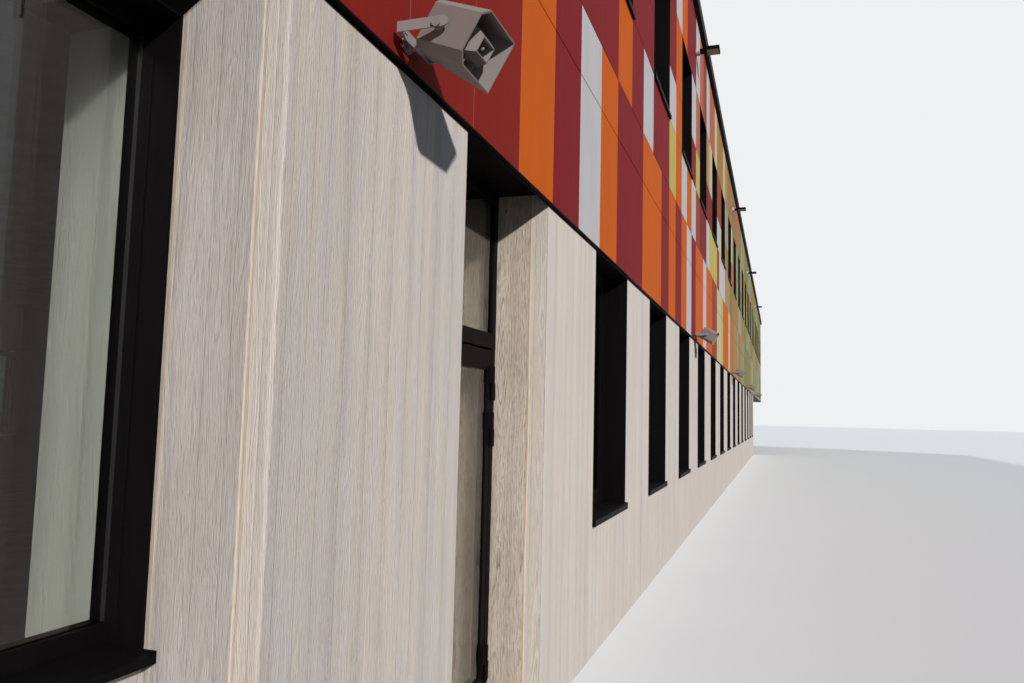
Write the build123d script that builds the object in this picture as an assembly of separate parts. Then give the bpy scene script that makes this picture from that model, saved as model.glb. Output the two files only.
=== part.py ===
from build123d import *
import os

# School building in two storeys, as a model at half the real size.
# X runs along the front from the near corner, Y into the building, Z up from the ground.
# The front concrete face is the plane Y = 0 until the whole model is centred at the end.
# Every size below is the real one in millimetres, times SCALE.
SCALE = 1 / 2

# Plan: one window and one pier make a bay of four modules
module = 625 * SCALE
bay = 4 * module
opening_width = 2 * module
pier_width = bay - opening_width
front_bays = 22
ground_bays = 16
end_bays = 6
length = front_bays * bay + pier_width
ground_length = ground_bays * bay + pier_width
depth = end_bays * bay + pier_width
setback = bay

# Levels
floor_top = 60 * SCALE
ground_sill = 915 * SCALE
cladding_base = 2875 * SCALE
edge_beam_height = 975 * SCALE
floor_thickness = 400 * SCALE
breast_height = 940 * SCALE
upper_window_height = 1600 * SCALE
lintel_height = 510 * SCALE
roof_thickness = 350 * SCALE
cladding_rise = 330 * SCALE
cap_drop = 125 * SCALE
cap_plate = 45 * SCALE
upper_slab_bottom = cladding_base + edge_beam_height
upper_floor = upper_slab_bottom + floor_thickness
upper_sill = upper_floor + breast_height
upper_head = upper_sill + upper_window_height
roof_slab_bottom = upper_head + lintel_height
roof_slab_top = roof_slab_bottom + roof_thickness
cladding_top = roof_slab_top + cladding_rise
parapet_top = cladding_top + cap_drop
cap_top = parapet_top + cap_plate

# Thicknesses
ground_wall = 790 * SCALE
upper_wall = 300 * SCALE
parapet_wall = 200 * SCALE
cladding = 25 * SCALE
trim_depth = 30 * SCALE
trim_height = 30 * SCALE
cap_overhang = 95 * SCALE
cap_lip = 20 * SCALE
cap_lip_drop = 55 * SCALE

# Windows of the rows
frame_setback = 185 * SCALE
frame_depth = 80 * SCALE
frame_face = 55 * SCALE
sash_face = 55 * SCALE
sash_step = 12 * SCALE
pane = 28 * SCALE
lining = 10 * SCALE
sill_nose = 25 * SCALE
sill_lip = 14 * SCALE
sill_rise = 34 * SCALE
sill_drop = 27 * SCALE
sill_metal = 10 * SCALE
sill_upstand = 10 * SCALE

# Deep recesses of the doorway and of the window beside it, whose head slopes up to the front
window_recess = 362 * SCALE
window_recess_width = 1218 * SCALE
window_head_rise = 135 * SCALE
window_recess_top = cladding_base + window_head_rise
door_recess = 300 * SCALE
door_head_rise = 30 * SCALE
door_recess_top = cladding_base + door_head_rise
head_fall = 248 * SCALE
deep_head = window_recess_top - head_fall
deep_lining = 109 * SCALE
deep_sill = 985 * SCALE
deep_nose = 43 * SCALE
deep_drop = 9 * SCALE
bead_face = 14 * SCALE

# Door
door_frame_face = 52 * SCALE
door_gap = 12 * SCALE
leaf_thickness = 70 * SCALE
leaf_stile = 53 * SCALE
leaf_top_rail = 113 * SCALE
leaf_bottom_rail = 160 * SCALE
leaf_top = 2007 * SCALE
leaf_light_inset = 8 * SCALE
top_light_inset = 15 * SCALE
transom_bar = 84 * SCALE
hinge_radius = 12 * SCALE
hinge_pin = 5 * SCALE
hinge_play = 0.05
hinge_split = 0.3
hinge_length = 190 * SCALE
hinge_centres = [300 * SCALE, 1566 * SCALE, 1822 * SCALE]
hinge_plate = 46 * SCALE
handle_height = 1050 * SCALE
handle_inset = 34 * SCALE
handle_plate_below = 132 * SCALE
handle_plate_above = 88 * SCALE
handle_plate_width = 34 * SCALE
handle_plate_depth = 8 * SCALE
lever_reach = 52 * SCALE
lever_length = 130 * SCALE
lever_radius = 10 * SCALE

# Horn loudspeakers and floodlights on every fourth bay
fitting_spacing = 4 * bay
fitting_first = 3104 * SCALE
fitting_count = 5
horn_rise = 37 * SCALE
horn_height = cladding_base + horn_rise
horn_tilt = 29.4
horn_reach = 194 * SCALE
bell_rise = 16 * SCALE
bell_front = 141 * SCALE
bell_back = 84.5 * SCALE
bell_wall = 5 * SCALE
mouth_width = 287 * SCALE
mouth_height = 197 * SCALE
mouth_bevel_width = 44 * SCALE
mouth_bevel_height = 32 * SCALE
throat_width = 124 * SCALE
throat_height = 174 * SCALE
throat_drop = 6 * SCALE
throat_bevel = 19 * SCALE
rim_width = 100 * SCALE
rim_height = 56 * SCALE
rim_inset = 7.5 * SCALE
rim_wall = 4 * SCALE
shoulder_width = 142 * SCALE
shoulder_height = 96 * SCALE
shoulder_back = 45 * SCALE
waist_width = 160 * SCALE
waist_height = 112 * SCALE
waist_back = 78 * SCALE
tail_width = 84 * SCALE
tail_height = 70 * SCALE
cavity_width = 40 * SCALE
cavity_height = 24 * SCALE
cavity_depth = 100 * SCALE
ball_radius = 8 * SCALE
ball_inset = 22 * SCALE
ball_stem = 3 * SCALE
rib_spacing = 70 * SCALE
rib_thickness = 4 * SCALE
rib_front = 40 * SCALE
rib_back = 80 * SCALE
cover_radius = 46 * SCALE
cover_depth = 9 * SCALE
boss_radius = 17 * SCALE
strap_width = 36 * SCALE
strap = 5 * SCALE
strap_inside = 123 * SCALE
strap_offset = 5 * SCALE
strap_tip = 22 * SCALE
strap_stand_off = 27 * SCALE
strap_slot_place = 68 * SCALE
strap_slot_length = 26 * SCALE
strap_slot_width = 9 * SCALE
pivot_radius = 8 * SCALE
pivot_play = 0.05
bolt_radius = 15 * SCALE
bolt_head = 8 * SCALE
foot_radius = 34 * SCALE
foot_plate = 8 * SCALE
stem_radius = 14 * SCALE
lamp_drop = 595 * SCALE
lamp_height = cladding_top - lamp_drop
lamp_box_radius = 60 * SCALE
lamp_box_depth = 60 * SCALE
lamp_arm = 95 * SCALE
lamp_arm_width = 110 * SCALE
lamp_arm_height = 46 * SCALE
lamp_width = 230 * SCALE
lamp_depth = 205 * SCALE
lamp_thickness = 54 * SCALE
lamp_rim = 14 * SCALE
lamp_glass = 5 * SCALE

nodes = {}


def block(x0, x1, y0, y1, z0, z1):
    """A box between two corners."""
    centre = Pos((x0 + x1) / 2, (y0 + y1) / 2, (z0 + z1) / 2)
    return centre * Box(x1 - x0, y1 - y0, z1 - z0)


# Each side has its own frame: X along the wall, Y into the building
front = Location((0, 0, 0))
undercroft = Location((0, setback, 0))
near_end = Location((0, depth, 0), (0, 0, -90))
far_end = Location((length, 0, 0), (0, 0, 90))
rear = Location((length, depth, 0), (0, 0, 180))


def starts(first, last):
    """Left edges of the openings of the bays first to last."""
    return [pier_width + bay * number for number in range(first, last + 1)]


def wall(x0, x1, y0, y1, z0, z1, openings, low, high):
    """A wall panel on its side's frame with window openings cut through it."""
    panel = block(x0, x1, y0, y1, z0, z1)
    cuts = [block(x, x + opening_width, y0, y1, low, high) for x in openings]
    return panel - cuts


# Concrete of the ground storey
inner_length = length - ground_wall
inner_depth = depth - ground_wall
inner_setback = setback + ground_wall
nodes["ground_slab"] = (
    block(ground_wall, inner_length, inner_setback, inner_depth, 0, floor_top)
    + block(ground_wall, ground_length - ground_wall, ground_wall, inner_setback, 0, floor_top)
)

window_near = pier_width
window_far = window_near + window_recess_width
jamb_near = pier_width + bay
jamb_far = jamb_near + opening_width
doorway = block(jamb_near, jamb_far, 0, ground_wall, 0, door_recess_top + trim_height)
window_hollow = (
    block(window_near, window_far, 0, window_recess, 0, window_recess_top + trim_height)
    + block(window_near, window_far, 0, ground_wall, deep_sill, window_recess_top + trim_height)
)

nodes["front_wall_near"] = block(0, jamb_near, 0, ground_wall, 0, cladding_base) - window_hollow
nodes["front_wall_far"] = wall(
    jamb_far, ground_length, 0, ground_wall, 0, cladding_base, starts(2, ground_bays - 1), ground_sill,
    cladding_base,
)
nodes["front_edge_beam"] = (
    block(0, length, 0, ground_wall, cladding_base, upper_slab_bottom) - doorway - window_hollow
)
nodes["overhang_end_beam"] = block(
    inner_length, length, ground_wall, setback, cladding_base, upper_slab_bottom
)
nodes["undercroft_return_wall"] = block(
    ground_length - ground_wall, ground_length, ground_wall, setback, 0, upper_slab_bottom
)
nodes["undercroft_wall"] = undercroft * wall(
    ground_length - ground_wall, length, 0, ground_wall, 0, upper_slab_bottom,
    starts(ground_bays + 1, front_bays - 1), ground_sill, cladding_base,
)
nodes["end_wall_near"] = near_end * wall(
    ground_wall, inner_depth, 0, ground_wall, 0, upper_slab_bottom, starts(0, end_bays - 1),
    ground_sill, cladding_base,
)
nodes["end_wall_far"] = far_end * wall(
    setback + ground_wall, inner_depth, 0, ground_wall, 0, upper_slab_bottom, starts(1, end_bays - 1),
    ground_sill, cladding_base,
)
nodes["rear_wall"] = rear * wall(
    0, length, 0, ground_wall, 0, upper_slab_bottom, starts(0, front_bays - 1), ground_sill,
    cladding_base,
)

# Concrete of the upper storey and the roof
nodes["upper_floor_slab"] = block(0, length, 0, depth, upper_slab_bottom, upper_floor)
nodes["upper_front_wall"] = front * wall(
    0, length, 0, upper_wall, upper_floor, roof_slab_bottom, starts(0, front_bays - 1), upper_sill,
    upper_head,
)
nodes["upper_rear_wall"] = rear * wall(
    0, length, 0, upper_wall, upper_floor, roof_slab_bottom, starts(0, front_bays - 1), upper_sill,
    upper_head,
)
nodes["upper_end_wall_near"] = near_end * wall(
    upper_wall, depth - upper_wall, 0, upper_wall, upper_floor, roof_slab_bottom, starts(0, end_bays - 1),
    upper_sill, upper_head,
)
nodes["upper_end_wall_far"] = far_end * wall(
    upper_wall, depth - upper_wall, 0, upper_wall, upper_floor, roof_slab_bottom, starts(0, end_bays - 1),
    upper_sill, upper_head,
)
nodes["roof_slab"] = block(0, length, 0, depth, roof_slab_bottom, roof_slab_top)


def ring(outside, inside, z0, z1):
    """A closed band round the plan, from its outer to its inner offset."""
    outer = block(-outside, length + outside, -outside, depth + outside, z0, z1)
    return outer - block(inside, length - inside, inside, depth - inside, z0, z1)


def four_lengths(band):
    """The band cut by mitres at the corners of the plan into its four straight lengths."""
    reach = cap_overhang + module
    half = depth / 2
    corners = [
        (-reach, -reach), (length + reach, -reach), (length + reach, depth + reach), (-reach, depth + reach)
    ]
    ridge = [(half, half), (length - half, half)]
    plans = [
        [corners[0], corners[1], ridge[1], ridge[0]],
        [corners[1], corners[2], ridge[1]],
        [corners[2], corners[3], ridge[0], ridge[1]],
        [corners[3], corners[0], ridge[0]],
    ]
    wedges = [extrude(make_face(Polyline(*plan, close=True)), cap_top) for plan in plans]
    return Compound([solid for wedge in wedges for solid in (band & wedge).solids()])


nodes["parapet"] = four_lengths(ring(0, parapet_wall, roof_slab_top, parapet_top))

# Metal cap of the roof edge: a deep fascia outside, a top plate and a hanging lip inside
cap_band = (
    ring(cap_overhang, 0, cladding_top, cap_top)
    + ring(0, parapet_wall + cap_lip, parapet_top, cap_top)
    + ring(-parapet_wall, parapet_wall + cap_lip, parapet_top - cap_lip_drop, parapet_top)
)
nodes["roof_edge_cap"] = four_lengths(cap_band)

# Cladding of the upper volume, hung on all four sides, with a dark strip under it. Over the
# window recess both step up to the recess' higher head
notch_top = window_recess_top + trim_height
nodes["front_cladding"] = front * wall(
    -cladding, length + cladding, -cladding, 0, cladding_base, cladding_top,
    starts(0, front_bays - 1), upper_sill, upper_head,
) - block(window_near, window_far, -cladding, 0, cladding_base, notch_top)
nodes["rear_cladding"] = rear * wall(
    -cladding, length + cladding, -cladding, 0, cladding_base, cladding_top,
    starts(0, front_bays - 1), upper_sill, upper_head,
)
nodes["end_cladding_near"] = near_end * wall(
    0, depth, -cladding, 0, cladding_base, cladding_top, starts(0, end_bays - 1), upper_sill,
    upper_head,
)
nodes["end_cladding_far"] = far_end * wall(
    0, depth, -cladding, 0, cladding_base, cladding_top, starts(0, end_bays - 1), upper_sill,
    upper_head,
)
nodes["base_strip"] = (
    ring(trim_depth, 0, cladding_base - trim_height, cladding_base)
    - block(window_near, window_far, -trim_depth, 0, cladding_base - trim_height, cladding_base)
    + block(window_near, window_far, -trim_depth, 0, window_recess_top, notch_top)
)
nodes["overhang_soffit"] = block(
    ground_length, length, 0, setback, cladding_base - trim_height, cladding_base
)
head_slope = Polyline(
    (0, window_recess_top), (window_recess, deep_head), (window_recess, window_recess_top), close=True
)
sloping_head = Pos(window_near, 0, 0) * extrude(Plane.YZ * make_face(head_slope), window_recess_width)
nodes["recess_soffits"] = Compound(
    [
        block(jamb_near, jamb_far, 0, ground_wall, door_recess_top, door_recess_top + trim_height),
        block(window_near, window_far, 0, ground_wall, window_recess_top, notch_top)
        + sloping_head
        + block(window_near, window_far, window_recess, ground_wall, deep_head, window_recess_top),
    ]
)


def surround(x0, x1, z0, z1, y0, y1, face):
    """A rectangular frame whose members are face wide."""
    return block(x0, x1, y0, y1, z0, z1) - block(x0 + face, x1 - face, y0, y1, z0 + face, z1 - face)


def sash_frame(x0, x1, z0, z1, y, inner_face):
    """A fixed frame with the stepped sash or bead inside it."""
    outer = surround(x0, x1, z0, z1, y, y + frame_depth, frame_face)
    inner = surround(
        x0 + frame_face, x1 - frame_face, z0 + frame_face, z1 - frame_face,
        y + sash_step, y + frame_depth, inner_face,
    )
    return outer + inner


def sash_pane(x0, x1, z0, z1, y, inner_face):
    """The glass that fills the sash or bead."""
    edge = frame_face + inner_face
    middle = y + (sash_step + frame_depth) / 2
    return block(x0 + edge, x1 - edge, middle - pane / 2, middle + pane / 2, z0 + edge, z1 - edge)


def reveal_lining(x0, x1, z0, z1, y0, y1):
    """Folded metal on the jambs and the head of a reveal."""
    return block(x0, x1, y0, y1, z0, z1) - block(x0 + lining, x1 - lining, y0, y1, z0, z1 - lining)


def sill(x0, x1, z, seat_front, face, nose_length, drop):
    """A folded metal sill: sloping top, hanging front edge and an upstand at each end."""
    nose = face - nose_length
    back = seat_front + frame_depth
    outline = Polyline(
        (back, z),
        (back, z + sill_rise),
        (seat_front, z + sill_rise),
        (nose, z + sill_lip),
        (nose, z - drop),
        (nose + sill_metal, z - drop),
        (nose + sill_metal, z),
        close=True,
    )
    plate = Pos(x0, 0, 0) * extrude(Plane.YZ * make_face(outline), x1 - x0)
    top = z + sill_lip + sill_upstand
    left = block(x0, x0 + sill_metal, nose, face, z - drop, top)
    right = block(x1 - sill_metal, x1, nose, face, z - drop, top)
    return plate + left + right


ground_windows = (
    [front * Pos(x, 0, 0) for x in starts(2, ground_bays - 1)]
    + [undercroft * Pos(x, 0, 0) for x in starts(ground_bays + 1, front_bays - 1)]
    + [rear * Pos(x, 0, 0) for x in starts(0, front_bays - 1)]
    + [near_end * Pos(x, 0, 0) for x in starts(0, end_bays - 1)]
    + [far_end * Pos(x, 0, 0) for x in starts(1, end_bays - 1)]
)
upper_windows = (
    [front * Pos(x, 0, 0) for x in starts(0, front_bays - 1)]
    + [rear * Pos(x, 0, 0) for x in starts(0, front_bays - 1)]
    + [near_end * Pos(x, 0, 0) for x in starts(0, end_bays - 1)]
    + [far_end * Pos(x, 0, 0) for x in starts(0, end_bays - 1)]
)


def copies(shape, places):
    """One compound of like pieces at all their places."""
    return Compound([place * solid for place in places for solid in shape.solids()])


def window_row(name, places, low, high, face):
    """Frames, glass, linings and sills of one storey, four nodes in all."""
    seat = low + sill_rise
    frame = sash_frame(0, opening_width, seat, high, frame_setback, sash_face)
    glass = sash_pane(0, opening_width, seat, high, frame_setback, sash_face)
    ledge = sill(0, opening_width, low, frame_setback, face, sill_nose, sill_drop)
    sides = reveal_lining(0, opening_width, low, high, face, frame_setback) - ledge
    nodes[name + "_window_frames"] = copies(frame, places)
    nodes[name + "_window_glass"] = copies(glass, places)
    nodes[name + "_window_sills"] = copies(ledge, places)
    nodes[name + "_window_linings"] = copies(sides, places)


window_row("ground", ground_windows, ground_sill, cladding_base - trim_height, 0)
window_row("upper", upper_windows, upper_sill, upper_head, -cladding)

# Window in the deep recess: its sill sits higher and stands out in front of the recess
deep_seat = deep_sill + sill_rise
deep_frame = window_recess + deep_lining
deep_ledge = sill(window_near, window_far, deep_sill, deep_frame, window_recess, deep_nose, deep_drop)
nodes["recess_window_frame"] = sash_frame(
    window_near, window_far, deep_seat, deep_head, deep_frame, bead_face
)
nodes["recess_window_glass"] = sash_pane(
    window_near, window_far, deep_seat, deep_head, deep_frame, bead_face
)
nodes["recess_window_sill"] = deep_ledge
nodes["recess_window_lining"] = (
    reveal_lining(window_near, window_far, deep_sill, deep_head, window_recess, deep_frame) - deep_ledge
)

# Doorway: threshold, frame with a fixed light over the leaf, and the leaf
leaf_bottom = floor_top + door_gap
frame_back = door_recess + frame_depth
bar_bottom = leaf_top + door_gap
bar_top = bar_bottom + transom_bar
clear_near = jamb_near + door_frame_face
clear_far = jamb_far - door_frame_face
leaf_near = clear_near + door_gap
leaf_far = clear_far - door_gap
leaf_back = door_recess + leaf_thickness
hinge_x = clear_far - door_gap / 2
hinge_y = door_recess - hinge_radius

nodes["door_threshold"] = block(jamb_near, jamb_far, 0, ground_wall, 0, floor_top)


def hinge_leaf(z0, z1, x0, x1):
    """One half of a hinge: a knuckle on the pin line and its plate on the frame or the leaf."""
    knuckle = Pos(hinge_x, hinge_y, (z0 + z1) / 2) * Cylinder(hinge_radius, z1 - z0)
    plate = block(x0, x1, hinge_y, door_recess, z0, z1)
    return knuckle + plate


fixed_hinges = []
leaf_hinges = []
for centre in hinge_centres:
    low = centre - hinge_length / 2
    high = centre + hinge_length / 2
    fixed_hinges += [
        hinge_leaf(low, centre, hinge_x, hinge_x + hinge_plate),
        Pos(hinge_x, hinge_y, (centre + high) / 2) * Cylinder(hinge_pin, high - centre),
    ]
    bore = Pos(hinge_x, hinge_y, (centre + high) / 2) * Cylinder(hinge_pin + hinge_play, high - centre)
    leaf_hinges += [hinge_leaf(centre + hinge_split, high, hinge_x - hinge_plate, hinge_x) - bore]

door_surround = (
    block(jamb_near, jamb_far, door_recess, frame_back, floor_top, door_recess_top)
    - block(clear_near, clear_far, door_recess, frame_back, floor_top, bar_bottom)
    - block(clear_near, clear_far, door_recess, frame_back, bar_top, door_recess_top - door_frame_face)
)
nodes["door_frame"] = door_surround + fixed_hinges
top_light_front = door_recess + top_light_inset
nodes["door_top_light"] = block(
    clear_near, clear_far, top_light_front, top_light_front + pane, bar_top, door_recess_top - door_frame_face
)

light_near = leaf_near + leaf_stile
light_far = leaf_far - leaf_stile
light_low = leaf_bottom + leaf_bottom_rail
light_high = leaf_top - leaf_top_rail
leaf_frame = block(leaf_near, leaf_far, door_recess, leaf_back, leaf_bottom, leaf_top) - block(
    light_near, light_far, door_recess, leaf_back, light_low, light_high
)
nodes["door_leaf"] = leaf_frame + leaf_hinges
leaf_light_front = door_recess + leaf_light_inset
nodes["door_glass"] = block(
    light_near, light_far, leaf_light_front, leaf_light_front + pane, light_low, light_high
)

# Lever handles on both faces of the leaf, their spindle ends seated on the plates
handle_x = leaf_near + handle_inset


def lever(face, out):
    """A back plate with a lever that turns back along the leaf, on the side that out points to."""
    edge = face + out * handle_plate_depth
    tip = face + out * lever_reach
    plate = block(
        handle_x - handle_plate_width / 2, handle_x + handle_plate_width / 2, min(face, edge),
        max(face, edge), handle_height - handle_plate_below, handle_height + handle_plate_above,
    )
    neck = Cylinder(lever_radius, lever_reach - handle_plate_depth)
    grip = Cylinder(lever_radius, lever_length)
    elbow = Sphere(lever_radius)
    return (
        plate
        + Pos(handle_x, (edge + tip) / 2, handle_height) * Rot(90, 0, 0) * neck
        + Pos(handle_x + lever_length / 2, tip, handle_height) * Rot(0, 90, 0) * grip
        + Pos(handle_x, tip, handle_height) * elbow
    )


nodes["door_handles"] = Compound([lever(door_recess, -1), lever(leaf_back, 1)])

# Horn loudspeakers: a flared bell with its two near corners bevelled, a smaller horn inside
# it, a round cover behind, and pivot bolts in the arms of a strap bracket
def upright(width, height, rise, y):
    """A rectangle across the horn's axis, its middle rise above the pivot."""
    return Pos(0, y, rise) * Rot(90, 0, 0) * Rectangle(width, height)


def bell_section(width, height, bevel_width, bevel_height, shrink, rise, y):
    """The bell's outline at y, moved inwards by shrink, bevelled on its near side only."""
    side = width / 2 - shrink
    top = height / 2 - shrink
    corner = -side + bevel_width
    flat = top - bevel_height
    outline = Polyline(
        (side, top), (side, -top), (corner, -top), (-side, -flat), (-side, flat), (corner, top), close=True
    )
    return Pos(0, y, rise) * Rot(90, 0, 0) * make_face(outline)


def bell(shrink, back_y):
    """The flared volume from the mouth to the back, or its inside when it is shrunk."""
    mouth = bell_section(
        mouth_width, mouth_height, mouth_bevel_width, mouth_bevel_height, shrink, bell_rise, -bell_front
    )
    throat = bell_section(
        throat_width, throat_height, throat_bevel, throat_bevel, shrink, bell_rise - throat_drop, back_y
    )
    return loft([mouth, throat], ruled=True)


def inner_horn():
    """Four-sided horn that opens in the bell's mouth, its hollow and the ball on its stem."""
    front_y = -bell_front + rim_inset
    shoulder_y = -bell_front + shoulder_back
    waist_y = -bell_front + waist_back
    tail_y = bell_back - bell_wall
    rim = upright(rim_width, rim_height, bell_rise, front_y)
    shoulder = upright(shoulder_width, shoulder_height, bell_rise, shoulder_y)
    waist = upright(waist_width, waist_height, bell_rise, waist_y)
    tail = upright(tail_width, tail_height, bell_rise, tail_y)
    outside = loft([rim, shoulder], ruled=True) + loft([shoulder, waist], ruled=True)
    outside += loft([waist, tail], ruled=True)
    hollow = loft(
        [
            upright(rim_width - 2 * rim_wall, rim_height - 2 * rim_wall, bell_rise, front_y),
            upright(cavity_width, cavity_height, bell_rise, front_y + cavity_depth),
        ],
        ruled=True,
    )
    ball_y = -bell_front + ball_inset
    stem_end = front_y + cavity_depth + bell_wall
    stem = Pos(0, (ball_y + stem_end) / 2, bell_rise) * Rot(90, 0, 0) * Cylinder(ball_stem, stem_end - ball_y)
    return (outside - hollow) + stem + Pos(0, ball_y, bell_rise) * Sphere(ball_radius)


def pivot_bolt(side):
    """Boss on the bell's side, bolt through the bracket's arm and its head."""
    start = throat_width / 2
    boss_end = strap_inside - hinge_split
    head_start = strap_inside + strap + hinge_split
    head_end = head_start + bolt_head
    boss = Pos(side * (start + boss_end) / 2, 0, 0) * Rot(0, 90, 0) * Cylinder(boss_radius, boss_end - start)
    pin = Pos(side * (start + head_end) / 2, 0, 0) * Rot(0, 90, 0) * Cylinder(pivot_radius, head_end - start)
    head = Pos(side * (head_start + bolt_head / 2), 0, 0) * Rot(0, 90, 0) * Cylinder(bolt_radius, bolt_head)
    return boss + pin + head


def horn_body():
    """The whole loudspeaker, pointing along -Y with its pivot at the origin."""
    inside = bell(bell_wall, bell_back - bell_wall)
    body = bell(0, bell_back) + pivot_bolt(-1) + pivot_bolt(1)
    body = body - inside + inner_horn()
    for side in (-1, 1):
        middle = side * rib_spacing / 2
        rib = block(
            middle - rib_thickness / 2, middle + rib_thickness / 2, -bell_front + rib_front,
            -bell_front + rib_back, bell_rise - mouth_height / 2 + bell_wall, bell_rise - rim_height / 2,
        )
        body = body + rib
    cover = Pos(0, bell_back + cover_depth / 2, bell_rise - throat_drop) * Rot(90, 0, 0)
    return body + cover * Cylinder(cover_radius, cover_depth)


def horn_bracket():
    """Strap bent to a U round the bell, on a short stem and a round foot against the cladding."""
    wall_face = horn_reach - cladding
    back_face = wall_face - strap_stand_off
    outside = strap_inside + strap
    low = strap_offset - strap_width / 2
    high = strap_offset + strap_width / 2
    bracket = block(-outside, outside, back_face - strap, back_face, low, high)
    for side in (-1, 1):
        middle = side * (strap_inside + strap / 2)
        arm = block(middle - strap / 2, middle + strap / 2, -strap_tip, back_face, low, high)
        tip = Pos(middle, -strap_tip, strap_offset) * Rot(0, 90, 0) * Cylinder(strap_width / 2, strap)
        bracket = bracket + arm + tip
        slot = Pos(side * strap_slot_place, back_face - strap / 2, strap_offset) * Box(
            strap_slot_length, strap, strap_slot_width
        )
        bracket = bracket - slot
    bore = Rot(0, 90, 0) * Cylinder(pivot_radius + pivot_play, 2 * outside)
    stem = Pos(0, (back_face + wall_face) / 2, strap_offset) * Rot(90, 0, 0) * Cylinder(
        stem_radius, wall_face - back_face
    )
    foot = Pos(0, wall_face - foot_plate / 2, strap_offset) * Rot(90, 0, 0) * Cylinder(
        foot_radius, foot_plate
    )
    return bracket - bore + stem + foot


fitting_starts = [fitting_first + fitting_spacing * number for number in range(fitting_count)]
horn_places = [Pos(x, -horn_reach, horn_height) for x in fitting_starts]
nodes["horn_brackets"] = copies(horn_bracket(), horn_places)
tilted_horn = Rot(horn_tilt, 0, 0) * horn_body()
for number, place in enumerate(horn_places, start=1):
    nodes[f"horn_{number}"] = place * tilted_horn

# Floodlights near the roof edge: a round box on the cladding, a short arm, the flat lamp
# and the glass let into its underside
lamp_places = [Pos(x, -cladding, lamp_height) for x in fitting_starts]
arm_start = -lamp_box_depth
arm_end = arm_start - lamp_arm
lamp_end = arm_end - lamp_depth
lamp_half = lamp_width / 2
lamp_low = -lamp_thickness / 2
mount = Pos(0, arm_start / 2, 0) * Rot(90, 0, 0) * Cylinder(lamp_box_radius, lamp_box_depth)
arm = block(
    -lamp_arm_width / 2, lamp_arm_width / 2, arm_end, arm_start, -lamp_arm_height / 2, lamp_arm_height / 2
)
glass = block(
    -lamp_half + lamp_rim, lamp_half - lamp_rim, lamp_end + lamp_rim, arm_end - lamp_rim,
    lamp_low, lamp_low + lamp_glass,
)
head = block(-lamp_half, lamp_half, lamp_end, arm_end, lamp_low, lamp_thickness / 2) - glass
nodes["floodlight_boxes"] = copies(mount, lamp_places)
nodes["floodlight_arms"] = copies(arm, lamp_places)
nodes["floodlight_heads"] = copies(head, lamp_places)
nodes["floodlight_glass"] = copies(glass, lamp_places)

# Centre the plan on the origin, ground at Z = 0, and write one file for each node
box = Compound([solid for shape in nodes.values() for solid in shape.solids()]).bounding_box()
shift = Pos(-(box.min.X + box.max.X) / 2, -(box.min.Y + box.max.Y) / 2, 0)
os.makedirs("parts", exist_ok=True)
for name, shape in nodes.items():
    solids = [shift * solid for solid in shape.solids()]
    result = solids[0] if len(solids) == 1 else Compound(solids)
    export_step(result, f"parts/{name}.step")

hinge_point = shift * Pos(hinge_x, hinge_y, 0)
print("door hinge", hinge_point.position)
for number, place in enumerate(horn_places, start=1):
    print("horn", number, (shift * place).position)
print("shift", shift.position)
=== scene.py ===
import math
import random

import bmesh
import bpy
from mathutils import Color, Matrix, Vector


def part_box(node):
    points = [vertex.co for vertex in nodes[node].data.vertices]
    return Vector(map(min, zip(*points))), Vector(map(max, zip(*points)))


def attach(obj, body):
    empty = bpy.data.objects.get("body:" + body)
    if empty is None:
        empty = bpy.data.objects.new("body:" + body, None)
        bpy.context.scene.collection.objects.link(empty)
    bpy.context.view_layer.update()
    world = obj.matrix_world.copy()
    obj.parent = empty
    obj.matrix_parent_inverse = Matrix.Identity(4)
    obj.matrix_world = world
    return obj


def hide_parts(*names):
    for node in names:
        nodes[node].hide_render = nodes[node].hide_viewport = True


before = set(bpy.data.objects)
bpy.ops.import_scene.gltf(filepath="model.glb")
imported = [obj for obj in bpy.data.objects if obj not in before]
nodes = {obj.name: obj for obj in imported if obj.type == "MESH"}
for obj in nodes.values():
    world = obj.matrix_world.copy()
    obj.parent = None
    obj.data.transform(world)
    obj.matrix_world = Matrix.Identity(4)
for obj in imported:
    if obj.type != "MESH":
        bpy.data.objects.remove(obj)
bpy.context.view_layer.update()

# Camera: an eye 1.65 m over the real ground, close to the front and looking along it
# to the overhanging end. The model is half the real size, so real metres are halved.
SCALE = 0.5
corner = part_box("front_wall_near")[0]
eye_along = 0.685 * SCALE
eye_out = 1.245 * SCALE
eye_height = 1.651 * SCALE
yaw = math.radians(18.51)
pitch = math.radians(5.18)
roll = math.radians(1.35)
forward = Vector((math.cos(pitch) * math.cos(yaw), math.cos(pitch) * math.sin(yaw), math.sin(pitch)))
level = forward.cross(Vector((0, 0, 1))).normalized()
upright = level.cross(forward)
side = level * math.cos(roll) + upright * math.sin(roll)
top = upright * math.cos(roll) - level * math.sin(roll)
lens = bpy.data.cameras.new("camera")
lens.lens = 28.27
lens.sensor_width = 36
lens.clip_end = 500
camera = bpy.data.objects.new("camera", lens)
camera.matrix_world = Matrix((side, top, -forward)).transposed().to_4x4()
camera.location = (corner.x + eye_along, corner.y - eye_out, eye_height)
scene = bpy.context.scene
scene.collection.objects.link(camera)
scene.camera = camera
scene.view_settings.view_transform = "Standard"


# Studio: one lamp low behind the camera, a weaker one behind the building for the sides
# that the first leaves dark, and a pale floor under a pale sky.
def feed(tree, socket, source):
    """A socket linked to another one or set to a value; None leaves it as it is."""
    if isinstance(source, bpy.types.NodeSocket):
        tree.links.new(source, socket)
    elif source is not None:
        socket.default_value = source


def in_use(sockets):
    """The sockets that a node's settings leave enabled."""
    return [socket for socket in sockets if socket.enabled]


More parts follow.
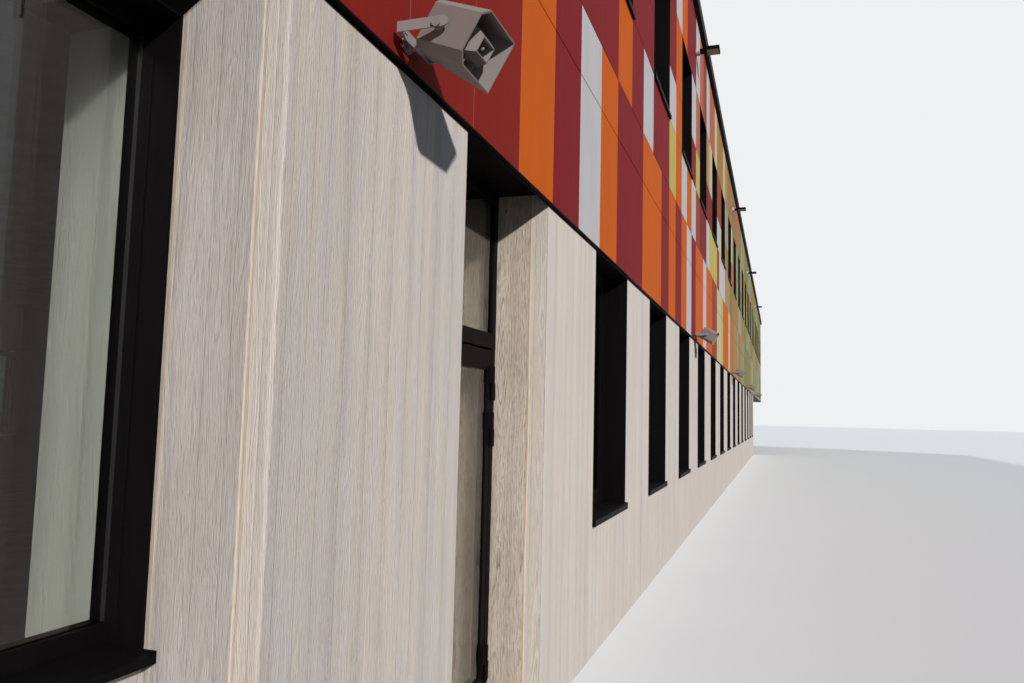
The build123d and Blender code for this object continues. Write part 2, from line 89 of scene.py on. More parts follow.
def wired(tree, kind, *sources, **settings):
    """A shader node with its settings made and its inputs fed in their order."""
    made = tree.nodes.new("ShaderNode" + kind)
    for name, value in settings.items():
        setattr(made, name, value)
    for socket, source in zip(in_use(made.inputs), sources):
        feed(tree, socket, source)
    return made


def result(tree, kind, *sources, **settings):
    """The first output of such a node."""
    return in_use(wired(tree, kind, *sources, **settings).outputs)[0]


def maths(tree, kind, first, second=None, third=None):
    """One sum of sockets or numbers."""
    return result(tree, "Math", first, second, third, operation=kind)


def blended(tree, kind, factor, first, second):
    """Two colours mixed in one of the mix node's ways."""
    return result(tree, "Mix", factor, first, second, data_type="RGBA", blend_type=kind)


def lamp(name, energy, travel, colour):
    """A distant lamp whose light goes in the given direction."""
    light = bpy.data.lights.new(name, "SUN")
    light.energy = energy
    light.angle = lamp_width
    light.color = colour
    holder = bpy.data.objects.new(name, light)
    holder.rotation_euler = Vector(travel).to_track_quat("-Z", "Y").to_euler()
    scene.collection.objects.link(holder)


def background_rays(tree):
    """One for the rays that should show the pale background: the camera's and mirrored ones."""
    ray = wired(tree, "LightPath").outputs
    seen = maths(tree, "MAXIMUM", ray["Is Camera Ray"], ray["Is Glossy Ray"])
    return maths(tree, "MAXIMUM", seen, ray["Is Transmission Ray"])


lamp_width = math.radians(2)
lamp("key", 3.9, (0.663, 0.628, -0.407), (1.0, 0.975, 0.94))
lamp("fill", 1.1, (-0.35, -0.75, -0.56), (0.97, 0.98, 1.0))

pale = (0.86, 0.87, 0.88, 1)
sky_colour = (0.47, 0.7, 1.0, 1)
sky_strength = 0.16
world = bpy.data.worlds.new("studio")
world.use_nodes = True
sky = world.node_tree
sky.nodes.clear()
lit = result(sky, "Background", sky_colour, sky_strength)
shown = result(sky, "Background", pale, 1.0)
wired(sky, "OutputWorld", result(sky, "MixShader", background_rays(sky), lit, shown))
scene.world = world

floor_half = 120
floor_colour = (0.12, 0.12, 0.125, 1)
shape = bmesh.new()
bmesh.ops.create_grid(shape, x_segments=1, y_segments=1, size=floor_half)
floor_mesh = bpy.data.meshes.new("floor")
shape.to_mesh(floor_mesh)
shape.free()
floor = bpy.data.objects.new("floor", floor_mesh)
scene.collection.objects.link(floor)
floor_paint = bpy.data.materials.new("floor")
floor_paint.use_nodes = True
ground = floor_paint.node_tree
surface = ground.nodes["Principled BSDF"]
floor_shown = blended(ground, "MIX", background_rays(ground), floor_colour, pale)
feed(ground, surface.inputs["Base Color"], floor_shown)
surface.inputs["Roughness"].default_value = 0.9
floor_mesh.materials.append(floor_paint)


# Concrete walls: cast against rough sawn boards set upright, so the pale cement skin
# carries their wavy grain, their joints and a tone for each board.
def srgb(red, green, blue):
    """A paint colour given as on a screen, made linear."""
    return (*Color((red / 255, green / 255, blue / 255)).from_srgb_to_scene_linear(), 1)


def grey(value):
    """The same number in all three colours."""
    return (value, value, value, 1)


def effect(name, inputs, outputs):
    """An empty shader node group with its named sockets, and its two ends."""
    tree = bpy.data.node_groups.new(name, "ShaderNodeTree")
    for label, kind, value in inputs:
        socket = tree.interface.new_socket(label, in_out="INPUT", socket_type="NodeSocket" + kind)
        if value is not None:
            socket.default_value = value
    for label, kind in outputs:
        tree.interface.new_socket(label, in_out="OUTPUT", socket_type="NodeSocket" + kind)
    return tree, tree.nodes.new("NodeGroupInput").outputs, tree.nodes.new("NodeGroupOutput").inputs


def ramp(tree, source, *stops):
    """A colour ramp of (place, colour) stops."""
    made = wired(tree, "ValToRGB", source)
    points = made.color_ramp.elements
    while len(points) < len(stops):
        points.new(0.5)
    for point, (place, colour) in zip(points, stops):
        point.position = place
        point.color = colour
    return made.outputs[0]


def shaded(tree, share, colour, mask, *stops):
    """The colour multiplied, by a share, with the ramp of a mask."""
    return blended(tree, "MULTIPLY", share, colour, ramp(tree, mask, *stops))


def streaked(tree, vector, stretch, scale, detail):
    """Noise drawn out along the vertical."""
    drawn = result(tree, "Mapping", vector, (0, 0, 0), (0, 0, 0), (1, 1, stretch))
    return result(tree, "TexNoise", drawn, scale, detail, noise_roughness)


noise_roughness = 0.6
figure_apart = 37.0
figure_across = 11.0
figure_up = 1.9
figure_wander = 0.5
middle_distance = 0.25
line_pitch = 120.0
joint_width = 0.03
fibre_share = 0.55
broad_share = 0.4
marks, marks_in, marks_out = effect(
    "sawn board marks",
    [
        ("Vector", "Vector", None), ("Boards", "Float", 16.0), ("Rings", "Float", 60.0),
        ("Waves", "Float", 26.0),
    ],
    [("Grain", "Float"), ("Joint", "Float"), ("Tone", "Float"), ("Streak", "Float"), ("Cloud", "Float")],
)
vector = marks_in["Vector"]
split = wired(marks, "SeparateXYZ", vector).outputs
along = maths(marks, "ADD", split[0], split[1])
boards = wired(marks, "TexVoronoi", along, marks_in["Boards"], voronoi_dimensions="1D").outputs
seams = result(
    marks, "TexVoronoi", along, marks_in["Boards"], voronoi_dimensions="1D", feature="DISTANCE_TO_EDGE"
)
board_tone = wired(marks, "SeparateXYZ", boards["Color"]).outputs[0]
figure_place = result(
    marks, "CombineXYZ", maths(marks, "MULTIPLY", board_tone, figure_apart),
    maths(marks, "MULTIPLY", along, figure_across), maths(marks, "MULTIPLY", split[2], figure_up),
)
figure = result(marks, "TexNoise", figure_place, 1.0, 3.5, 0.55)
from_middle = maths(marks, "SUBTRACT", boards["Distance"], middle_distance)
off_centre = maths(marks, "MULTIPLY_ADD", figure, figure_wander, from_middle)
arch = maths(marks, "MULTIPLY", maths(marks, "MULTIPLY", off_centre, off_centre), marks_in["Rings"])
phase = maths(marks, "MULTIPLY_ADD", figure, marks_in["Waves"], arch)
phase = maths(marks, "MULTIPLY_ADD", along, line_pitch, phase)
lines = result(marks, "TexNoise", phase, 1.0, 2.0, noise_dimensions="1D")
lines = maths(marks, "MULTIPLY", lines, 1 - fibre_share)
fibres = streaked(marks, vector, 0.06, 760, 3)
fine_streaks = streaked(marks, vector, 0.02, 95, 3)
broad_streaks = streaked(marks, vector, 0.03, 28, 2)
for label, source in (
    ("Grain", maths(marks, "MULTIPLY_ADD", fibres, fibre_share, lines)),
    ("Joint", ramp(marks, seams, (0.0, grey(0)), (joint_width, grey(1)))),
    ("Tone", board_tone),
    ("Streak", result(marks, "Mix", broad_share, fine_streaks, broad_streaks, data_type="FLOAT")),
    ("Cloud", streaked(marks, vector, 0.45, 6, 4)),
):
    marks.links.new(source, marks_out[label])


def finish(name, roughness, metallic=0.0, specular=0.5):
    """A new material, its tree, its shader and its object coordinates."""
    made = bpy.data.materials.new(name)
    made.use_nodes = True
    surface = made.node_tree.nodes["Principled BSDF"]
    surface.inputs["Roughness"].default_value = roughness
    surface.inputs["Metallic"].default_value = metallic
    surface.inputs["Specular IOR Level"].default_value = specular
    return made, made.node_tree, surface, wired(made.node_tree, "TexCoord").outputs["Object"]


def used(tree, group, **values):
    """A group placed in a material, its inputs given by name."""
    made = tree.nodes.new("ShaderNodeGroup")
    made.node_tree = group
    for name, value in values.items():
        feed(tree, made.inputs[name], value)
    return made.outputs


def bumped(tree, surface, height, distance, strength=1.0):
    """A height onto the surface's normal."""
    tree.links.new(result(tree, "Bump", strength, distance, None, height), surface.inputs["Normal"])


def dress(made, *names):
    """Give CAD nodes their finish."""
    for name in names:
        for slot in nodes[name].material_slots:
            slot.material = made


def band(tree, place, middle, half, soft):
    """One near a place on a line, nought away from it."""
    away = maths(tree, "ABSOLUTE", maths(tree, "SUBTRACT", place, middle))
    return ramp(tree, away, (half, grey(1)), (half + soft, grey(0)))


def cement_skin(tree, mark):
    """Pale streaks of cement, then a tone for each board, the grain, the joints and clouds."""
    skin = ramp(
        tree, mark["Streak"], (0.30, srgb(220, 212, 212)), (0.44, srgb(228, 219, 215)),
        (0.54, srgb(229, 219, 211)), (0.60, srgb(238, 226, 208)), (0.68, srgb(226, 218, 216)),
    )
    skin = shaded(tree, 1.0, skin, mark["Tone"], (0.0, grey(0.95)), (1.0, grey(1.0)))
    skin = shaded(
        tree, 0.45, skin, mark["Grain"],
        (0.34, (0.86, 0.84, 0.83, 1)), (0.5, grey(0.985)), (0.62, grey(1.0)),
    )
    skin = shaded(tree, 0.3, skin, mark["Joint"], (0.0, (0.82, 0.79, 0.74, 1)), (1.0, grey(1.0)))
    return shaded(tree, 0.3, skin, mark["Cloud"], (0.3, (0.88, 0.85, 0.82, 1)), (0.65, grey(1.0)))


def returned_skin(tree, skin, mark, across, jamb):
    """The skin where the wall turns in: a lip, darker concrete, cement lines, a painted highlight along
    the near return's corner, then plaster.
    """
    normal = wired(tree, "NewGeometry").outputs["Normal"]
    facing = maths(tree, "LESS_THAN", wired(tree, "SeparateXYZ", normal).outputs[0], facing_near)
    between = band(tree, across[0], corner.x + jamb["at"], return_width, return_soft)
    returned = maths(tree, "MULTIPLY", facing, between)
    behind = maths(tree, "SUBTRACT", across[1], corner.y)
    lip = ramp(tree, mark["Grain"], (0.36, jamb["lip"][0]), (0.6, jamb["lip"][1]))
    skin = blended(tree, "MIX", returned, skin, lip)
    deep = maths(tree, "MULTIPLY", returned, maths(tree, "GREATER_THAN", behind, skin_edge))
    worn = ramp(tree, mark["Grain"], *jamb["tones"])
    worn = shaded(tree, 0.5, worn, mark["Cloud"], (0.35, (0.84, 0.80, 0.75, 1)), (0.6, grey(1.0)))
    skin = blended(tree, "MIX", deep, skin, worn)
    straight = maths(tree, "SUBTRACT", behind, line_wander / 2)
    wandering = maths(tree, "MULTIPLY_ADD", mark["Cloud"], line_wander, straight)
    for middle, half, share, colour in jamb["lines"]:
        line = maths(tree, "MULTIPLY", band(tree, wandering, middle, half, line_soft), share)
        skin = blended(tree, "MIX", maths(tree, "MULTIPLY", returned, line), skin, colour)
    room = maths(tree, "GREATER_THAN", across[1], corner.y + plaster_line)
    return blended(tree, "MIX", maths(tree, "MULTIPLY", returned, room), skin, plaster)


def board_marked(name, painted_shade_ends, reach, jamb=None):
    """Board-marked concrete with painted shade: its brightness is ramped over a reach from the near
    corner, standing in for the fall of light along the wall.
    """
    made, tree, surface, place = finish(name, 0.9, specular=0.0)
    mark = used(tree, marks, Vector=place)
    across = wired(tree, "SeparateXYZ", place).outputs
    # Painted shade: a brightness ramp along the wall, multiplied into the skin.
    painted_shade_ramp = result(tree, "MapRange", across[0], corner.x + reach[0], corner.x + reach[1], *painted_shade_ends)
    painted_shade_ramp = result(tree, "CombineXYZ", painted_shade_ramp, painted_shade_ramp, painted_shade_ramp)
    skin = blended(tree, "MULTIPLY", 1.0, cement_skin(tree, mark), painted_shade_ramp)
    if jamb:
        skin = returned_skin(tree, skin, mark, across, jamb)
    tree.links.new(skin, surface.inputs["Base Color"])
    relief = maths(tree, "MULTIPLY", mark["Joint"], joint_relief)
    relief = maths(tree, "MULTIPLY_ADD", mark["Tone"], tone_relief, relief)
    relief = maths(tree, "MULTIPLY_ADD", mark["Grain"], grain_relief, relief)
    bumped(tree, surface, relief, relief_depth)
    return made


joint_relief = 0.3
tone_relief = 0.3
grain_relief = 1.6
relief_depth = 0.0016

# The returns beside the near window and the door: each of their lines has its place behind the front, its
# half width, its share and its colour. The near return's first line is a painted highlight on its corner.
skin_edge = 0.092 * SCALE
plaster_line = 0.55 * SCALE
near_return = 2.468 * SCALE
door_return = 5 * SCALE
facing_near = -0.9
return_width = 0.02
return_soft = 0.0001
line_wander = 0.008
line_soft = 0.0012
plaster = srgb(190, 192, 191)
cement_line = srgb(236, 220, 198)
rust_line = srgb(172, 146, 118)
# Each front's first pair of numbers is its painted shade at the two ends of its reach: the near front
# darker by its near window, the far front darker towards its far end.
near_front = board_marked(
    "board-marked near front", (0.75, 0.865), (near_return, 3.1 * SCALE),
    {
        "at": near_return,
        "lip": (srgb(202, 190, 181), srgb(214, 204, 196)),
        "tones": ((0.36, srgb(168, 160, 157)), (0.5, srgb(186, 178, 175)), (0.64, srgb(193, 186, 183))),
        "lines": (
            # Painted highlight: a pale line along the near return's rounded corner, where the light
            # catches it.
            (0.004, 0.003, 0.7, srgb(232, 224, 219)),
            (0.0435, 0.0022, 0.75, cement_line),
            (0.0402, 0.0004, 0.6, rust_line),
            (0.1730, 0.002, 0.6, cement_line),
            (0.1765, 0.0009, 0.65, rust_line),
        ),
    },
)
far_front = board_marked(
    "board-marked far front", (0.98, 0.89), (door_return, 18 * SCALE),
    {
        "at": door_return,
        "lip": (srgb(184, 172, 162), srgb(206, 196, 187)),
        "tones": ((0.36, srgb(120, 104, 89)), (0.47, srgb(180, 167, 153)), (0.62, srgb(205, 195, 184))),
        "lines": ((0.0475, 0.0022, 0.7, cement_line), (0.0505, 0.0006, 0.7, rust_line)),
    },
)
side_concrete = board_marked("board-marked sides", (0.95, 0.95), (0, 1))
dress(near_front, "front_wall_near")
dress(far_front, "front_wall_far", "front_edge_beam")
dress(
    side_concrete, "undercroft_return_wall", "undercroft_wall", "end_wall_near", "end_wall_far",
    "rear_wall", "overhang_end_beam", "door_threshold",
)

# Slabs, upper walls and parapet: plain cast concrete behind the cladding, seen only
# in the window reveals, under the roof edge and inside.
plain_concrete, tree, surface, place = finish("plain concrete", 0.88, specular=0.3)
mark = used(tree, marks, Vector=place, Boards=2.0, Rings=8.0, Waves=4.0)
tone = ramp(tree, mark["Cloud"], (0.3, srgb(150, 147, 142)), (0.7, srgb(176, 173, 168)))
pit = ramp(tree, result(tree, "TexVoronoi", place, 60), (0.05, grey(0.6)), (0.14, grey(1)))
tree.links.new(blended(tree, "MULTIPLY", 0.5, tone, pit), surface.inputs["Base Color"])
bumped(tree, surface, maths(tree, "ADD", pit, mark["Joint"]), 0.0008, 0.6)
dress(
    plain_concrete, "ground_slab", "upper_floor_slab", "upper_front_wall", "upper_rear_wall",
    "upper_end_wall_near", "upper_end_wall_far", "roof_slab", "parapet",
)

# Metalwork: folded aluminium sheet and frame profiles, powder-coated near black, for the
# windows, linings, sills, soffits, the door and the roof edge.
weather, weather_in, weather_out = effect(
    "rain and dust",
    [
        ("Vector", "Vector", None), ("Paint", "Color", grey(0.5)), ("Dust", "Color", grey(0.6)),
        ("Amount", "Float", 0.1),
    ],
    [("Color", "Color"), ("Peel", "Float"), ("Dullness", "Float")],
)
vector = weather_in["Vector"]
cloud = streaked(weather, vector, 0.3, 8, 4)
drips = ramp(weather, streaked(weather, vector, 0.03, 55, 3), (0.45, grey(0)), (0.75, grey(1)))
painted = shaded(weather, 1.0, weather_in["Paint"], cloud, (0.3, grey(0.88)), (0.7, grey(1.0)))
dusty = maths(weather, "MULTIPLY", drips, weather_in["Amount"])
for label, source in (
    ("Color", blended(weather, "MIX", dusty, painted, weather_in["Dust"])),
    ("Peel", streaked(weather, vector, 1, 700, 2)),
    ("Dullness", cloud),
):
    weather.links.new(source, weather_out[label])


def coated(name, colour, dust, amount, roughness, specular, peel=0.0001):
    """Painted or moulded surface with faint rain marks, dust and orange peel."""
    made, tree, surface, place = finish(name, roughness, specular=specular)
    worn = used(tree, weather, Vector=place, Paint=colour, Dust=dust, Amount=amount)
    tree.links.new(worn["Color"], surface.inputs["Base Color"])
    rough = maths(tree, "MULTIPLY_ADD", worn["Dullness"], dull_range, roughness - dull_range / 2)
    tree.links.new(rough, surface.inputs["Roughness"])
    bumped(tree, surface, worn["Peel"], peel, 0.5)
    return made


dull_range = 0.16
black_metal = coated("black coated metal", srgb(14, 12, 13), srgb(54, 50, 48), 0.05, 0.5, 0.03)
dress(
    black_metal, "roof_edge_cap", "base_strip", "overhang_soffit", "recess_soffits",
    "ground_window_frames", "ground_window_sills", "ground_window_linings", "upper_window_frames",
    "upper_window_sills", "upper_window_linings", "recess_window_frame", "recess_window_lining",
    "recess_window_sill", "door_frame", "door_leaf", "floodlight_arms", "floodlight_heads",
)


# Glass: faintly green double glazing, a little wavy; the rows' panes are tinted near black, a painted
# shade for the dark rooms behind them.
# Light from the lamps goes through, so that the reveals behind are lit as in a real room.
def glazed(name, tint, passed, reflection):
    """Window glass that is clear to the lamps."""
    made, tree, surface, place = finish(name, 0.01, specular=reflection)
    surface.inputs["Base Color"].default_value = tint
    surface.inputs["Transmission Weight"].default_value = 1.0
    surface.inputs["IOR"].default_value = 1.5
    bumped(tree, surface, streaked(tree, place, 1, 3, 2), 0.0015, 0.12)
    shadow_ray = wired(tree, "LightPath").outputs["Is Shadow Ray"]
    clear = result(tree, "BsdfTransparent", passed)
    through = result(tree, "MixShader", shadow_ray, surface.outputs[0], clear)
    tree.links.new(through, tree.nodes["Material Output"].inputs["Surface"])
    return made


clear_glass = glazed("clear glass", srgb(194, 196, 192), srgb(208, 208, 204), 0.12)
# Painted shade: the rows' panes are tinted near black for the dark rooms behind them.
dark_glass = glazed("painted room shade glass", srgb(60, 68, 66), srgb(70, 76, 74), 0.15)
dress(clear_glass, "recess_window_glass", "door_top_light", "door_glass")
dress(dark_glass, "ground_window_glass", "upper_window_glass")


# Near window: its frame is mostly covered by the reveal, so only a narrow stile shows beside
# the glass, with the grey spacer at the pane's edge and a deeper rail above and below.
def slab(shape, first, second, paint=0):
    """A box between two opposite corners, added with its paint."""
    low = Vector([min(pair) for pair in zip(first, second)])
    high = Vector([max(pair) for pair in zip(first, second)])
    place = Matrix.Translation((high + low) / 2) @ Matrix.Diagonal((*(high - low), 1))
    for vertex in bmesh.ops.create_cube(shape, size=1, matrix=place)["verts"]:
        for face in vertex.link_faces:
            face.material_index = paint


def piece(name, shape, body, slot, *finishes_of):
    """The finished mesh as an object that rides on a body."""
    mesh = bpy.data.meshes.new(name)
    shape.to_mesh(mesh)
    shape.free()
    for made in finishes_of:
        mesh.materials.append(made)
    holder = bpy.data.objects.new(name, mesh)
    scene.collection.objects.link(holder)
    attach(holder, body)
    return holder


frame_low, frame_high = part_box("recess_window_frame")
stile = 0.014 * SCALE
rail = 0.051 * SCALE
stop_front = frame_low.y - 0.025 * SCALE
stop_side = 0.011 * SCALE
spacer = 0.0015 * SCALE
pane_middle = frame_low.y + 0.029 * SCALE
pane_half = 0.014 * SCALE
pane_front = pane_middle - pane_half
pane_back = pane_middle + pane_half
shape = bmesh.new()
for side_x, inward in ((frame_low.x, 1), (frame_high.x, -1)):
    inner = side_x + inward * stile
    outer = side_x + inward * stop_side
    edge = inner + inward * spacer
    for from_x, front_y, back_y, shorter, paint in (
        (side_x, frame_low.y, frame_high.y, 0, 0),
        (outer, stop_front, frame_low.y, rail, 0),
        (edge, pane_front, pane_back, rail, 1),
    ):
        slab(
            shape, (from_x, front_y, frame_low.z + shorter), (inner, back_y, frame_high.z - shorter), paint
        )
for low_z, high_z in ((frame_low.z, frame_low.z + rail), (frame_high.z - rail, frame_high.z)):
    slab(shape, (frame_low.x + stile, frame_low.y, low_z), (frame_high.x - stile, frame_high.y, high_z))
spacer_grey = coated("spacer grey", srgb(34, 34, 37), srgb(60, 60, 60), 0.1, 0.6, 0.1)
made = piece("near_window_frame", shape, "root", "dark_metal", black_metal, spacer_grey)
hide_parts("recess_window_frame")
shape = bmesh.new()
inset = stile + spacer
slab(
    shape, (frame_low.x + inset, pane_front, frame_low.z + rail),
    (frame_high.x - inset, pane_back, frame_high.z - rail),
)
made = piece("near_window_pane", shape, "root", "glass", clear_glass)
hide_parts("recess_window_glass")

# Facade boards: flat through-coloured boards one module wide, hung upright with open joints
# on a dark backing, in six rows between the trim below them and the roof edge.
module = 0.625 * SCALE
bay_modules = 4
pier_modules = 2
bay = bay_modules * module
pier_width = pier_modules * module
front_bays = 22
end_bays = 6
length = front_bays * bay + pier_width
depth = end_bays * bay + pier_width
clad_out = 0.025 * SCALE
board_depth = 0.010 * SCALE
board_edge = 0.0012 * SCALE
joint = 0.007 * SCALE
board_back = -clad_out + board_depth
backing_front = board_back + joint / 2
notch_near = 1.250 * SCALE
notch_far = 2.468 * SCALE
notch_top = 3.011 * SCALE
row_levels = [height * SCALE for height in (2.846, 3.875, 4.350, 5.190, 5.833, 6.790, 7.980)]
row_names = ["low", "low", "second", "third", "fourth", "top"]
window_rows = ["third", "fourth"]
paints = {
    "red": srgb(129, 32, 27),
    "wine": srgb(123, 27, 32),
    "orange": srgb(199, 92, 23),
    "white": srgb(194, 191, 194),
    "yellow": srgb(188, 174, 96),
    "cream": srgb(196, 188, 150),
    "salmon": srgb(174, 98, 78),
    "tan": srgb(172, 134, 92),
    "rust": srgb(142, 64, 42),
    "ochre": srgb(158, 122, 66),
    "olive": srgb(124, 122, 74),
    "sage": srgb(142, 144, 110),
    "stone": srgb(156, 152, 134),
}
paint_names = list(paints)
board_dust = srgb(170, 168, 164)
finishes = [
    coated("board " + name, colour, board_dust, 0.01, 0.65, 0.04) for name, colour in paints.items()
]
cut_edge = coated("board cut edge", srgb(134, 88, 80), srgb(150, 140, 130), 0.1, 0.8, 0.1)
backing_paint = len(finishes)
edge_paint = backing_paint + 1
sideways = 0.9

# The near boards follow a chosen order, given as paint and count from the near corner;
# the far ones drift from reds through ochre to greens.
near_orders = {
    "low": "red 7 orange 1 wine 1 white 1 orange 1 wine 2 orange 2 wine 1 orange 1 wine 1 orange 1 "
           "white 1 wine 1 orange 2 white 1 orange 2 rust 2 cream 2 yellow 1 orange 3 cream 1 tan 1 "
           "orange 1 ochre 2",
    "second": "wine 11 orange 1 wine 1 white 1 wine 2 yellow 1 orange 1 white 1 orange 1 white 1 rust 1 "
              "wine 2 white 1 yellow 3 rust 1 white 1",
    "third": "wine 16 white 1 orange 3 wine 1 yellow 3 wine 2 white 3 cream 1",
    "fourth": "wine 17 orange 3 white 1 salmon 3 tan 1 cream 3 rust 2",
    "top": "wine 17 white 1 orange 1 wine 2 white 1 salmon 1 rust 1 white 1 salmon 2 cream 1",
}
far_mixes = [
    (0.27, "wine orange salmon white yellow rust"),
    (0.34, "orange salmon cream yellow tan white ochre"),
    (0.46, "ochre tan sage cream stone salmon olive"),
    (1.01, "olive sage olive stone sage ochre"),
]
run_lengths = (1, 1, 2, 2, 3)


def order(row, count, seed, near_order):
    """Paint names for one row: the chosen near ones, then a drift along the wall."""
    words = near_order.split()
    names = [word for word, times in zip(words[::2], words[1::2]) for _ in range(int(times))]
    dice = random.Random(f"{row} {seed}")
    while len(names) < count:
        share = len(names) / count
        mix = next(names_of for limit, names_of in far_mixes if share < limit).split()
        names += [dice.choice(mix)] * dice.choice(run_lengths)
    return names[:count]


def board(shape, left, right, low, high, paint):
    """One board between two levels, less half a joint above and below."""
    slab(shape, (left, -clad_out, low + joint / 2), (right, board_back, high - joint / 2), paint)


def back(shape, length, over, notched):
    """The dark backing: strips below and above the windows, and piers between them."""
    base, window_low, window_high, head = (row_levels[number] for number in (0, 3, 5, 6))
    lowest = base
    if notched:
        lowest = notch_top
        slab(shape, (-over, backing_front, base), (notch_near, 0, lowest), backing_paint)
        slab(shape, (notch_far, backing_front, base), (length + over, 0, lowest), backing_paint)
    for low, high in ((lowest, window_low), (window_high, head)):
        slab(shape, (-over, backing_front, low), (length + over, 0, high), backing_paint)
    bays = round((length - pier_width) / bay)
    for number in range(bays + 1):
        left = number * bay - (over if number == 0 else 0)
        right = number * bay + pier_width + (over if number == bays else 0)
        slab(shape, (left, backing_front, window_low), (right, 0, window_high), backing_paint)


def clad(name, node, place, length, over, near_orders_of, notched=False):
    """All the boards of one side, the end ones a little over its corners, and their backing."""
    count = round(length / module)
    shape = bmesh.new()
    for number_of_row, (row, low, high) in enumerate(zip(row_names, row_levels, row_levels[1:])):
        colours = order(row, count, name, near_orders_of.get(row, ""))
        for number in range(count):
            if row in window_rows and number % bay_modules >= pier_modules:
                continue
            left = number * module - (over if number == 0 else -joint / 2)
            right = (number + 1) * module + (over if number == count - 1 else -joint / 2)
            paint = paint_names.index(colours[number])
            bottom = low
            if notched and number_of_row == 0 and left < notch_far and right > notch_near:
                bottom = notch_top
                if right > notch_far:
                    rest = max(left, notch_far + joint)
                    board(shape, rest, right, low, high, paint)
                    right = rest
            board(shape, left, right, bottom, high, paint)
    for face in shape.faces:
        if abs(face.normal.x) > sideways:
            face.material_index = edge_paint
    bmesh.ops.bevel(
        shape, geom=shape.edges[:], offset=board_edge, segments=1, profile=0.5, affect="EDGES", material=-1
    )
    back(shape, length, over, notched)
    bmesh.ops.transform(shape, matrix=place, verts=shape.verts)
    made = piece(name, shape, "root", "panels", *finishes, black_metal, cut_edge)
    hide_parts(node)


def turned(x, y, degrees):
    """The place of one side: its near end and the way that it runs."""
    return Matrix.Translation((x, y, 0)) @ Matrix.Rotation(math.radians(degrees), 4, "Z")


front_place = turned(corner.x, corner.y, 0)
rear_place = turned(corner.x + length, corner.y + depth, 180)
near_place = turned(corner.x, corner.y + depth, -90)
far_place = turned(corner.x + length, corner.y, 90)
clad("front_boards", "front_cladding", front_place, length, clad_out, near_orders, True)
clad("rear_boards", "rear_cladding", rear_place, length, clad_out, {})
clad("near_end_boards", "end_cladding_near", near_place, depth, 0, {})
clad("far_end_boards", "end_cladding_far", far_place, depth, 0, {})

# Trim under the boards: a thin black angle all the way round, whose lower leg closes the gap behind them.
# It steps up with the boards over the near window. Where it does not step up, a narrow black strip turns
# down flat against the wall below it, laid where the trim's shadow falls: part trim, part painted shadow.
trim_thick = 0.003 * SCALE
shadow_strip_height = 0.012 * SCALE
shadow_strip_out = 0.002 * SCALE
trim_behind = 8 * trim_thick
trim_low = row_levels[0] + joint / 2 - trim_thick
trim_raised = notch_top + joint / 2 - trim_thick
whole_side = [(-clad_out, length + clad_out, trim_low)]
whole_end = [(0, depth, trim_low)]
stepped = [
    (-clad_out, notch_near, trim_low), (notch_near, notch_far, trim_raised),
    (notch_far, length + clad_out, trim_low),
]
shape = bmesh.new()
for place, runs in (
    (front_place, stepped), (rear_place, whole_side), (near_place, whole_end), (far_place, whole_end)
):
    before = set(shape.verts)
    for left, right, low in runs:
        slab(shape, (left, -clad_out, low), (right, 0, low + trim_thick))
        slab(shape, (left, board_back, low + trim_thick), (right, 0, low + trim_behind))
        if low == trim_low:
            # Painted shadow: a black strip on the wall where the trim's shadow falls.
            slab(shape, (left, -shadow_strip_out, low - shadow_strip_height), (right, 0, low))
    moved = [vertex for vertex in shape.verts if vertex not in before]
    bmesh.ops.transform(shape, matrix=place, verts=moved)
trim = piece("base_trim", shape, "root", "dark_metal", black_metal)
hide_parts("base_strip")

# Roof: grey bitumen sheet in lengths that lap each other, laid on the slab and turned up
# against the parapet.
roof_low, roof_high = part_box("roof_slab")
parapet_inside = 0.2 * SCALE
sheet_width = 1.0 * SCALE
lap = 0.08 * SCALE
sheet_thick = 0.005 * SCALE
sheet_edge = 0.0008
upstand = 0.15 * SCALE
west = roof_low.x + parapet_inside
east = roof_high.x - parapet_inside
south = roof_low.y + parapet_inside
north = roof_high.y - parapet_inside
roof_top = roof_high.z
shape = bmesh.new()
for number in range(math.ceil((east - west) / sheet_width)):
    left = west + number * sheet_width
    right = min(left + sheet_width + lap, east)
    low = roof_top + sheet_thick * (number % 2)
    slab(shape, (left, south, low), (right, north, low + sheet_thick))
for low_y, high_y in ((south, south + sheet_thick), (north - sheet_thick, north)):
    slab(shape, (west, low_y, roof_top), (east, high_y, roof_top + upstand))
for low_x, high_x in ((west, west + sheet_thick), (east - sheet_thick, east)):
    slab(shape, (low_x, south, roof_top), (high_x, north, roof_top + upstand))
bmesh.ops.bevel(
    shape, geom=shape.edges[:], offset=sheet_edge, segments=1, profile=0.5, affect="EDGES", material=-1
)
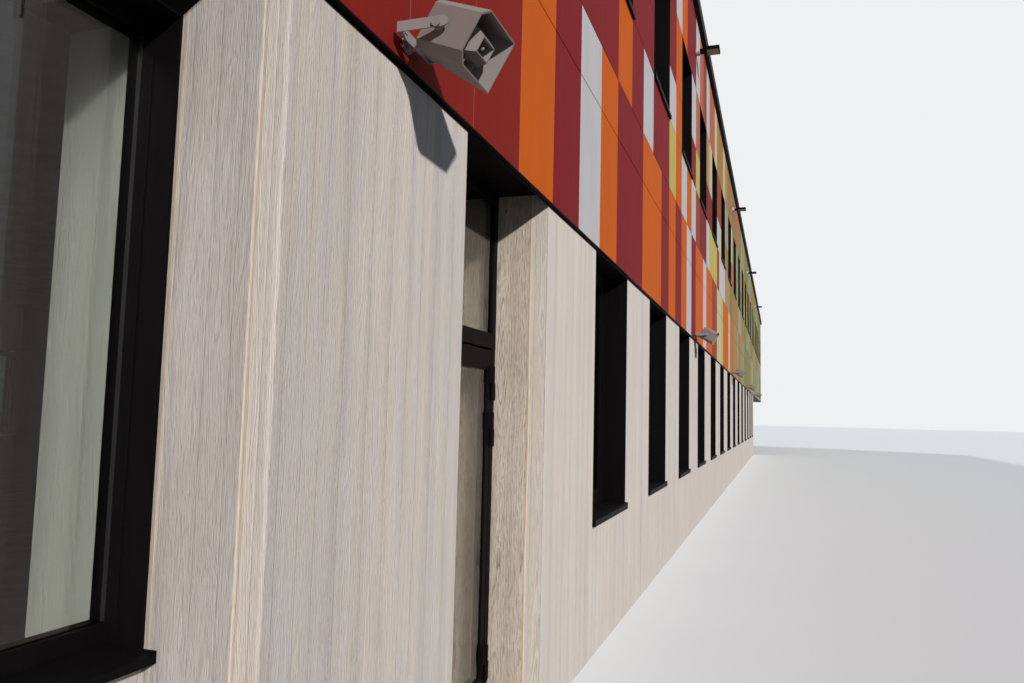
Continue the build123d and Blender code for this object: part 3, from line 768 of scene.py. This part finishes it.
bitumen, tree, surface, place = finish("grey bitumen sheet", 0.92, specular=0.3)
worn = used(tree, weather, Vector=place, Paint=srgb(112, 112, 112), Dust=srgb(150, 146, 138), Amount=0.5)
chips = result(tree, "TexNoise", place, 900.0, 2.0, 0.6)
speckled = shaded(tree, 0.6, worn["Color"], chips, (0.35, grey(0.6)), (0.6, grey(1.0)))
tree.links.new(speckled, surface.inputs["Base Color"])
bumped(tree, surface, chips, 0.0008, 0.6)
piece("roof_sheet", shape, "root", "dark_metal", bitumen)

# Horn loudspeakers: moulded in warm grey plastic with a slight orange peel, tilting in
# straps of grey-painted steel.
horn_grey = coated("horn grey plastic", srgb(140, 131, 128), srgb(120, 114, 110), 0.12, 0.55, 0.05, 0.0003)
strap_grey = coated("strap grey paint", srgb(140, 134, 132), srgb(110, 104, 96), 0.15, 0.45, 0.2)
dress(horn_grey, "horn_1", "horn_2", "horn_3", "horn_4", "horn_5")
dress(strap_grey, "horn_brackets")

# Floodlights: black cast heads, dressed with the metalwork, on pale round boxes, with a
# straw-coloured front glass that has a prism pattern.
box_grey = coated("pale grey box", srgb(186, 186, 184), srgb(120, 116, 110), 0.15, 0.5, 0.4)
dress(box_grey, "floodlight_boxes")
lamp_glass, tree, surface, place = finish("straw lamp glass", 0.25)
prisms = result(tree, "TexVoronoi", place, 160)
facets = ramp(tree, prisms, (0.0, srgb(196, 168, 130)), (0.6, srgb(140, 112, 84)))
tree.links.new(facets, surface.inputs["Base Color"])
bumped(tree, surface, prisms, 0.0006, 0.6)
dress(lamp_glass, "floodlight_glass")

# Door levers and their plates: brushed stainless steel, with the brush marks running up
# and down.
steel, tree, surface, place = finish("brushed steel", 0.32, 1.0)
brushed = streaked(tree, place, 0.04, 900, 2)
steel_tones = ramp(tree, brushed, (0.3, srgb(168, 168, 166)), (0.7, srgb(200, 200, 198)))
tree.links.new(steel_tones, surface.inputs["Base Color"])
bumped(tree, surface, brushed, 0.0002, 0.4)
dress(steel, "door_handles")
